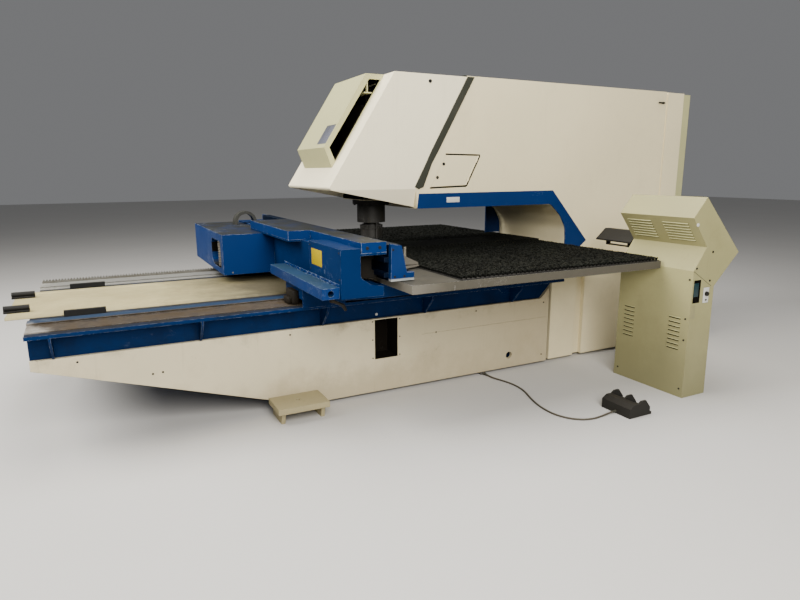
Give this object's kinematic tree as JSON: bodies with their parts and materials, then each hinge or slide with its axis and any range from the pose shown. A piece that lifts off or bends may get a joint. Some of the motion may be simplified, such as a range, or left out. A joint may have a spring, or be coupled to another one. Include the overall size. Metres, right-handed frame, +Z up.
{
  "type": "single-head cnc punching machine",
  "caption": "C-frame sheet punching machine: head over a die, carriage on the bed with a clamp rail and brush tables, console and foot switch beside it.",
  "frame": {"origin": "on the floor, under the punch axis", "axes": "+Z up, +Y from the guide's front end to the column, +X across to the console"},
  "size_m": [3.34, 5.394, 2.168],
  "materials": {
    "white_paint": "satin paint",
    "cream_paint": "satin paint",
    "blue_paint": "worn satin paint",
    "dark_paint": "matt paint",
    "machined_steel": "machined",
    "zinc_sheet": "dull zinc plate",
    "greasy_steel": "greasy",
    "floor_steel": "rough",
    "black_brush": "bristles",
    "black_rubber": "matt",
    "grey_plastic": "matt",
    "black_plastic": "matt",
    "white_plastic": "gloss",
    "red_plastic": "gloss"
  },
  "bodies": {
    "frame": {"machine_bed": "blue_paint", "bed_flange": "blue_paint", "base_soles": "floor_steel", "side_panels": "white_paint", "foot_brackets": "cream_paint", "column_foot": "white_paint", "c_frame": "white_paint", "throat_trims": "blue_paint", "head_hood": "white_paint", "hood_seals": "black_rubber", "motor_cover": "cream_paint", "index_motor": "dark_paint", "hatch_seal": "black_rubber", "rear_cover": "white_paint", "rear_duct": "cream_paint", "ram_guide": "machined_steel", "stripper": "machined_steel", "die_base": "machined_steel", "centre_table": "black_brush", "guide_ways": "greasy_steel", "y_rack": "greasy_steel", "centre_cover": "cream_paint", "cam_bars": "dark_paint", "end_buffers": "dark_paint", "console_cabinet": "cream_paint", "console_panel": "dark_paint", "console_tray": "dark_paint", "foot_switch": "dark_paint", "foot_cord": "black_rubber"},
    "hood_lock": {"hood_lock": "dark_paint"},
    "hatch": {"side_hatch": "white_paint"},
    "hatch_lock_upper": {"hatch_lock_upper": "dark_paint"},
    "hatch_lock_lower": {"hatch_lock_lower": "dark_paint"},
    "rear_latch": {"rear_latch": "dark_paint"},
    "ram": {"ram": "machined_steel"},
    "tool_head": {"tool_holder": "machined_steel", "punch": "machined_steel"},
    "die_head": {"die_holder": "machined_steel", "die": "machined_steel"},
    "carriage": {"carriage_beam": "blue_paint", "carriage_cover": "blue_paint", "drive_box": "blue_paint", "channel_bar": "blue_paint", "saddles": "blue_paint", "cable_chain": "grey_plastic", "guide_blocks": "machined_steel", "side_tables": "zinc_sheet", "table_arms": "blue_paint", "brush_fields": "black_brush"},
    "cross_rail": {"transverse_rail": "blue_paint", "rail_end_plates": "blue_paint", "clamp_bodies": "machined_steel"},
    "jaw_far": {"clamp_jaw_far": "machined_steel"},
    "jaw_middle": {"clamp_jaw_middle": "machined_steel"},
    "jaw_near": {"clamp_jaw_near": "machined_steel"},
    "start_button": {"start_button": "white_plastic"},
    "hold_button": {"hold_button": "black_plastic"},
    "stop_button": {"stop_button": "red_plastic"},
    "pedal_left": {"pedal_left": "dark_paint"},
    "pedal_right": {"pedal_right": "dark_paint"}
  },
  "joints": [
    {"name": "carriage_travel", "type": "slide", "parent": "frame", "child": "carriage", "axis": [0, 1, 0], "range_m": [-1.28, 0]},
    {"name": "rail_travel", "type": "slide", "parent": "carriage", "child": "cross_rail", "axis": [1, 0, 0], "range_m": [-1.25, 1.25]},
    {"name": "ram_stroke", "type": "slide", "parent": "frame", "child": "ram", "axis": [0, 0, 1], "range_m": [-0.03, 0]},
    {"name": "tool_turn", "type": "hinge", "parent": "ram", "child": "tool_head", "pos_m": [0, 0, 1.05], "axis": [0, 0, 1], "continuous": true},
    {"name": "die_turn", "type": "hinge", "parent": "frame", "child": "die_head", "pos_m": [0, 0, 0.9], "axis": [0, 0, 1], "continuous": true},
    {"name": "clamp_near_open", "type": "hinge", "parent": "cross_rail", "child": "jaw_near", "pos_m": [0.975, -0.268, 0.968], "axis": [1, 0, 0], "range_deg": [0, 10]},
    {"name": "clamp_middle_open", "type": "hinge", "parent": "cross_rail", "child": "jaw_middle", "pos_m": [0.335, -0.268, 0.968], "axis": [1, 0, 0], "range_deg": [0, 10]},
    {"name": "clamp_far_open", "type": "hinge", "parent": "cross_rail", "child": "jaw_far", "pos_m": [-0.305, -0.268, 0.968], "axis": [1, 0, 0], "range_deg": [0, 10]},
    {"name": "hatch_swing", "type": "hinge", "parent": "frame", "child": "hatch", "pos_m": [0.459, 0.619, 1.5035], "axis": [0, 0.4623, 0.8867], "range_deg": [0, 110]},
    {"name": "hatch_lock_upper_turn", "type": "hinge", "parent": "hatch", "child": "hatch_lock_upper", "pos_m": [0.459, 0.372, 1.55], "axis": [1, 0, 0], "range_deg": [0, 90]},
    {"name": "hatch_lock_lower_turn", "type": "hinge", "parent": "hatch", "child": "hatch_lock_lower", "pos_m": [0.459, 0.32, 1.455], "axis": [1, 0, 0], "range_deg": [0, 90]},
    {"name": "hood_lock_turn", "type": "hinge", "parent": "frame", "child": "hood_lock", "pos_m": [0.462, 0.254, 2.112], "axis": [1, 0, 0], "range_deg": [0, 90]},
    {"name": "rear_latch_turn", "type": "hinge", "parent": "frame", "child": "rear_latch", "pos_m": [0.465, 2.593, 2.072], "axis": [1, 0, 0], "range_deg": [0, 90]},
    {"name": "start_press", "type": "slide", "parent": "frame", "child": "start_button", "axis": [0, -0.7071, -0.7071], "range_m": [0, 0.004], "stiffness_N_per_m": 200, "springref_m": -0.002},
    {"name": "hold_press", "type": "slide", "parent": "frame", "child": "hold_button", "axis": [0, -0.7071, -0.7071], "range_m": [0, 0.004], "stiffness_N_per_m": 200, "springref_m": -0.002},
    {"name": "stop_press", "type": "slide", "parent": "frame", "child": "stop_button", "axis": [0, -0.7071, -0.7071], "range_m": [0, 0.006]},
    {"name": "pedal_left_press", "type": "hinge", "parent": "frame", "child": "pedal_left", "pos_m": [1.67, 0.971, 0.055], "axis": [-1, 0, 0], "range_deg": [0, 7], "stiffness_Nm_per_rad": 0.8, "springref_deg": -17.19},
    {"name": "pedal_right_press", "type": "hinge", "parent": "frame", "child": "pedal_right", "pos_m": [1.78, 0.971, 0.055], "axis": [-1, 0, 0], "range_deg": [0, 7], "stiffness_Nm_per_rad": 0.8, "springref_deg": -17.19}
  ],
  "couplings": [
    {"joint": "die_turn", "follows": "tool_turn", "ratio": 1},
    {"joint": "clamp_middle_open", "follows": "clamp_near_open", "ratio": 1},
    {"joint": "clamp_far_open", "follows": "clamp_near_open", "ratio": 1}
  ]
}
